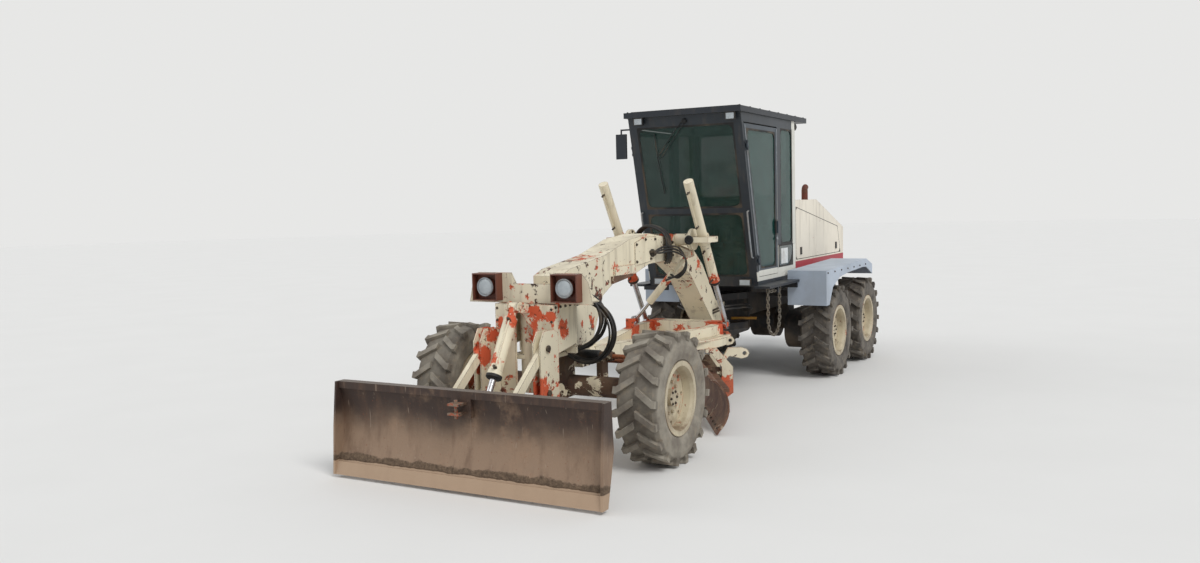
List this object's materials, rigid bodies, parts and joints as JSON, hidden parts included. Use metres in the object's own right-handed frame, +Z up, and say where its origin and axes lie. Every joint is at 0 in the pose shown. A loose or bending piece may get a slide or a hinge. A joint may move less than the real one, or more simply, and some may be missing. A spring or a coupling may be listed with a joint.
{
  "type": "motor grader",
  "caption": "Articulated motor grader with tandem rear wheels, a high cab, a front dozer blade on links and a turning moldboard under its arched front frame.",
  "frame": {"origin": "on the ground, midway between the front and rear ends, on the middle plane", "axes": "+Z up, -Y to the front of the machine, +X to its left side"},
  "size_m": [2.66, 9.38, 3.4047],
  "materials": {
    "black_paint": "dusty satin paint",
    "chain": "galvanised",
    "cream_paint": "chipped satin paint",
    "engine": "painted casting",
    "fabric": "woven",
    "fender_paint": "satin paint",
    "glass": "tinted",
    "lamp_box": "satin paint",
    "mirror": "satin",
    "plastic": "satin",
    "primer": "worn primer",
    "rod_steel": "polished rod",
    "rubber": "satin",
    "slate_paint": "satin paint",
    "tyre": "dusty",
    "white_paint": "satin paint",
    "worn_steel": "rusty worn steel"
  },
  "bodies": {
    "rear": {"rear_frame": "black_paint", "rear_axle": "black_paint", "tandem_cases": "black_paint", "cab_body": "slate_paint", "cab_roof": "slate_paint", "cab_glass": "glass", "seat": "fabric", "console": "plastic", "hood": "cream_paint", "engine": "engine", "grille": "black_paint", "exhaust": "worn_steel", "fenders": "fender_paint", "steps": "slate_paint", "work_lamps": "plastic", "mirror": "mirror", "tow_chain": "chain"},
    "front": {"front_frame": "cream_paint", "nose_frame": "cream_paint", "headboard": "cream_paint", "headlamps": "lamp_box", "front_axle": "worn_steel", "lift_saddle": "cream_paint", "hoses": "rubber"},
    "knuckle_left": {"knuckle_left": "primer"},
    "knuckle_right": {"knuckle_right": "primer"},
    "tie_rod": {"tie_rod": "primer"},
    "wheel_front_left": {"rim_front_left": "cream_paint", "tyre_front_left": "tyre"},
    "wheel_front_right": {"rim_front_right": "cream_paint", "tyre_front_right": "tyre"},
    "wheel_mid_left": {"rim_mid_left": "cream_paint", "tyre_mid_left": "tyre"},
    "wheel_mid_right": {"rim_mid_right": "cream_paint", "tyre_mid_right": "tyre"},
    "wheel_rear_left": {"rim_rear_left": "cream_paint", "tyre_rear_left": "tyre"},
    "wheel_rear_right": {"rim_rear_right": "cream_paint", "tyre_rear_right": "tyre"},
    "door_left": {"door_left": "white_paint", "door_left_glass": "glass"},
    "door_right": {"door_right": "white_paint", "door_right_glass": "glass"},
    "dozer_blade": {"dozer_blade": "worn_steel"},
    "dozer_lower_link": {"dozer_lower_link": "worn_steel"},
    "dozer_upper_links": {"dozer_upper_links": "worn_steel"},
    "dozer_barrel": {"dozer_barrel": "cream_paint"},
    "dozer_rod": {"dozer_rod": "rod_steel"},
    "drawbar": {"drawbar": "cream_paint"},
    "circle": {"circle": "cream_paint"},
    "tilt_brackets": {"tilt_brackets": "worn_steel"},
    "moldboard": {"moldboard": "worn_steel"},
    "lift_barrel_left": {"lift_barrel_left": "cream_paint"},
    "lift_rod_left": {"lift_rod_left": "rod_steel"},
    "lift_barrel_right": {"lift_barrel_right": "cream_paint"},
    "lift_rod_right": {"lift_rod_right": "rod_steel"},
    "shift_barrel": {"shift_barrel": "cream_paint"},
    "shift_rod": {"shift_rod": "rod_steel"}
  },
  "joints": [
    {"name": "articulation", "type": "hinge", "parent": "rear", "child": "front", "pos_m": [0, 0.68, 0.92], "axis": [0, 0, 1], "range_deg": [-20, 20]},
    {"name": "steer_left", "type": "hinge", "parent": "front", "child": "knuckle_left", "pos_m": [0.8, -3.07, 0.64], "axis": [0, 0, 1], "range_deg": [-35, 35]},
    {"name": "steer_right", "type": "hinge", "parent": "front", "child": "knuckle_right", "pos_m": [-0.8, -3.07, 0.64], "axis": [0, 0, 1], "range_deg": [-35, 35]},
    {"name": "tie_rod_shift", "type": "slide", "parent": "front", "child": "tie_rod", "axis": [1, 0, 0], "range_m": [-0.135, 0.135]},
    {"name": "spin_front_left", "type": "hinge", "parent": "knuckle_left", "child": "wheel_front_left", "pos_m": [1.075, -3.07, 0.59], "axis": [1, 0, 0], "continuous": true},
    {"name": "spin_front_right", "type": "hinge", "parent": "knuckle_right", "child": "wheel_front_right", "pos_m": [-1.075, -3.07, 0.59], "axis": [1, 0, 0], "continuous": true},
    {"name": "spin_mid_left", "type": "hinge", "parent": "rear", "child": "wheel_mid_left", "pos_m": [1.075, 1.98, 0.59], "axis": [1, 0, 0], "continuous": true},
    {"name": "spin_mid_right", "type": "hinge", "parent": "rear", "child": "wheel_mid_right", "pos_m": [-1.075, 1.98, 0.59], "axis": [1, 0, 0], "continuous": true},
    {"name": "spin_rear_left", "type": "hinge", "parent": "rear", "child": "wheel_rear_left", "pos_m": [1.075, 3.44, 0.59], "axis": [1, 0, 0], "continuous": true},
    {"name": "spin_rear_right", "type": "hinge", "parent": "rear", "child": "wheel_rear_right", "pos_m": [-1.075, 3.44, 0.59], "axis": [1, 0, 0], "continuous": true},
    {"name": "door_left_swing", "type": "hinge", "parent": "rear", "child": "door_left", "pos_m": [0.736, 0.18614, 2.3], "axis": [0, 0.2487, -0.9686], "range_deg": [0, 80]},
    {"name": "door_right_swing", "type": "hinge", "parent": "rear", "child": "door_right", "pos_m": [-0.736, 0.18614, 2.3], "axis": [0, -0.2487, 0.9686], "range_deg": [0, 80]},
    {"name": "dozer_lift", "type": "hinge", "parent": "front", "child": "dozer_lower_link", "pos_m": [0, -3.805, 0.7], "axis": [-1, 0, 0], "range_deg": [0, 34]},
    {"name": "dozer_upper_turn", "type": "hinge", "parent": "front", "child": "dozer_upper_links", "pos_m": [0, -3.805, 1.085], "axis": [-1, 0, 0], "range_deg": [0, 34]},
    {"name": "dozer_blade_level", "type": "hinge", "parent": "dozer_lower_link", "child": "dozer_blade", "pos_m": [0, -4.445, 0.19], "axis": [-1, 0, 0], "range_deg": [-34, 0]},
    {"name": "dozer_barrel_turn", "type": "hinge", "parent": "front", "child": "dozer_barrel", "pos_m": [0, -3.775, 1.43], "axis": [-1, 0, 0], "range_deg": [0, 23]},
    {"name": "dozer_rod_stroke", "type": "slide", "parent": "dozer_barrel", "child": "dozer_rod", "axis": [0, -0.5171, -0.8559], "range_m": [-0.207, 0]},
    {"name": "drawbar_lift", "type": "hinge", "parent": "front", "child": "drawbar", "pos_m": [0, -2.59, 0.86], "axis": [1, 0, 0], "range_deg": [0, 4.5]},
    {"name": "lift_barrel_left_turn", "type": "hinge", "parent": "front", "child": "lift_barrel_left", "pos_m": [0.515, -0.78, 1.895], "axis": [1, 0, 0], "range_deg": [0, 5.1]},
    {"name": "lift_rod_left_stroke", "type": "slide", "parent": "lift_barrel_left", "child": "lift_rod_left", "axis": [0, 0.5232, -0.8522], "range_m": [-0.165, 0]},
    {"name": "lift_barrel_right_turn", "type": "hinge", "parent": "front", "child": "lift_barrel_right", "pos_m": [-0.515, -0.78, 1.895], "axis": [1, 0, 0], "range_deg": [0, 5.1]},
    {"name": "lift_rod_right_stroke", "type": "slide", "parent": "lift_barrel_right", "child": "lift_rod_right", "axis": [0, 0.5232, -0.8522], "range_m": [-0.165, 0]},
    {"name": "shift_barrel_turn", "type": "hinge", "parent": "front", "child": "shift_barrel", "pos_m": [0.33, -0.78, 1.735], "axis": [0, 1, 0], "range_deg": [0, 5.9]},
    {"name": "shift_rod_stroke", "type": "slide", "parent": "shift_barrel", "child": "shift_rod", "axis": [-0.6668, 0, -0.7452], "range_m": [-0.104, 0]},
    {"name": "circle_turn", "type": "hinge", "parent": "drawbar", "child": "circle", "pos_m": [0, -0.49, 0.7], "axis": [0, 0, -1], "range_deg": [-120, 0]},
    {"name": "blade_tilt", "type": "hinge", "parent": "circle", "child": "tilt_brackets", "pos_m": [0.45033, -0.23, 0.25], "axis": [0.5, -0.866, 0], "range_deg": [-15, 0]},
    {"name": "blade_side_shift", "type": "slide", "parent": "tilt_brackets", "child": "moldboard", "axis": [0.5, -0.866, 0], "range_m": [-0.2, 0.45]}
  ],
  "couplings": [
    {"joint": "steer_right", "follows": "steer_left", "ratio": 1},
    {"joint": "tie_rod_shift", "follows": "steer_left", "m_per_rad": -0.215},
    {"joint": "dozer_upper_turn", "follows": "dozer_lift", "ratio": 1},
    {"joint": "dozer_blade_level", "follows": "dozer_lift", "ratio": -1},
    {"joint": "dozer_barrel_turn", "follows": "dozer_lift", "ratio": 0.6693},
    {"joint": "dozer_rod_stroke", "follows": "dozer_lift", "m_per_rad": -0.34661},
    {"joint": "lift_barrel_left_turn", "follows": "drawbar_lift", "ratio": 1.1258},
    {"joint": "lift_rod_left_stroke", "follows": "drawbar_lift", "m_per_rad": -2.0803},
    {"joint": "lift_barrel_right_turn", "follows": "drawbar_lift", "ratio": 1.1258},
    {"joint": "lift_rod_right_stroke", "follows": "drawbar_lift", "m_per_rad": -2.0803},
    {"joint": "shift_barrel_turn", "follows": "drawbar_lift", "ratio": 1.2919},
    {"joint": "shift_rod_stroke", "follows": "drawbar_lift", "m_per_rad": -1.2993}
  ]
}
